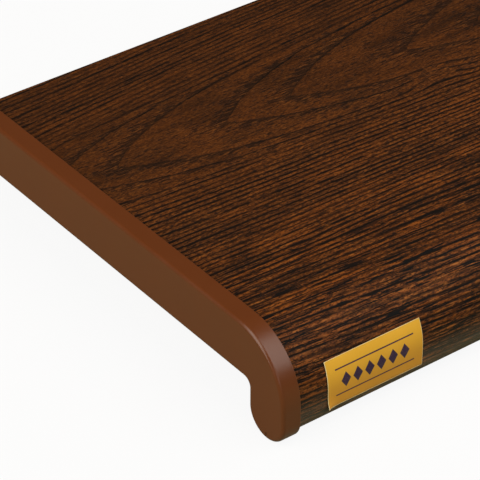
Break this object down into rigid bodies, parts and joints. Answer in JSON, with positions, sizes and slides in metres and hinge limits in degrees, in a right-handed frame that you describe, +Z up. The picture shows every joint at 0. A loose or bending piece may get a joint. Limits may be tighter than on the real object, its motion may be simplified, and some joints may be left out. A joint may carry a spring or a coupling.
{
  "type": "window sill board",
  "caption": "Hollow plastic window sill board with a rounded drooping nose, wood-grain film, a moulded cap over one end and a small paper label on the nose.",
  "frame": {"origin": "floor level under the middle of the part's box; the nose's lowest point is at Z = 0", "axes": "+X along the board's length, away from the capped end; -Y is the nose's front and +Y the rear edge; +Z up, square to the top face"},
  "size_m": [1.002, 0.2014, 0.043],
  "materials": {
    "wood_film": "satin dark wood-grain film on rigid PVC",
    "cap_plastic": "satin moulded plastic, brown",
    "label_paper": "golden yellow coated paper"
  },
  "bodies": {
    "root": {"sill_board": "wood_film", "end_cap": "cap_plastic", "label": "label_paper"}
  },
  "joints": []
}
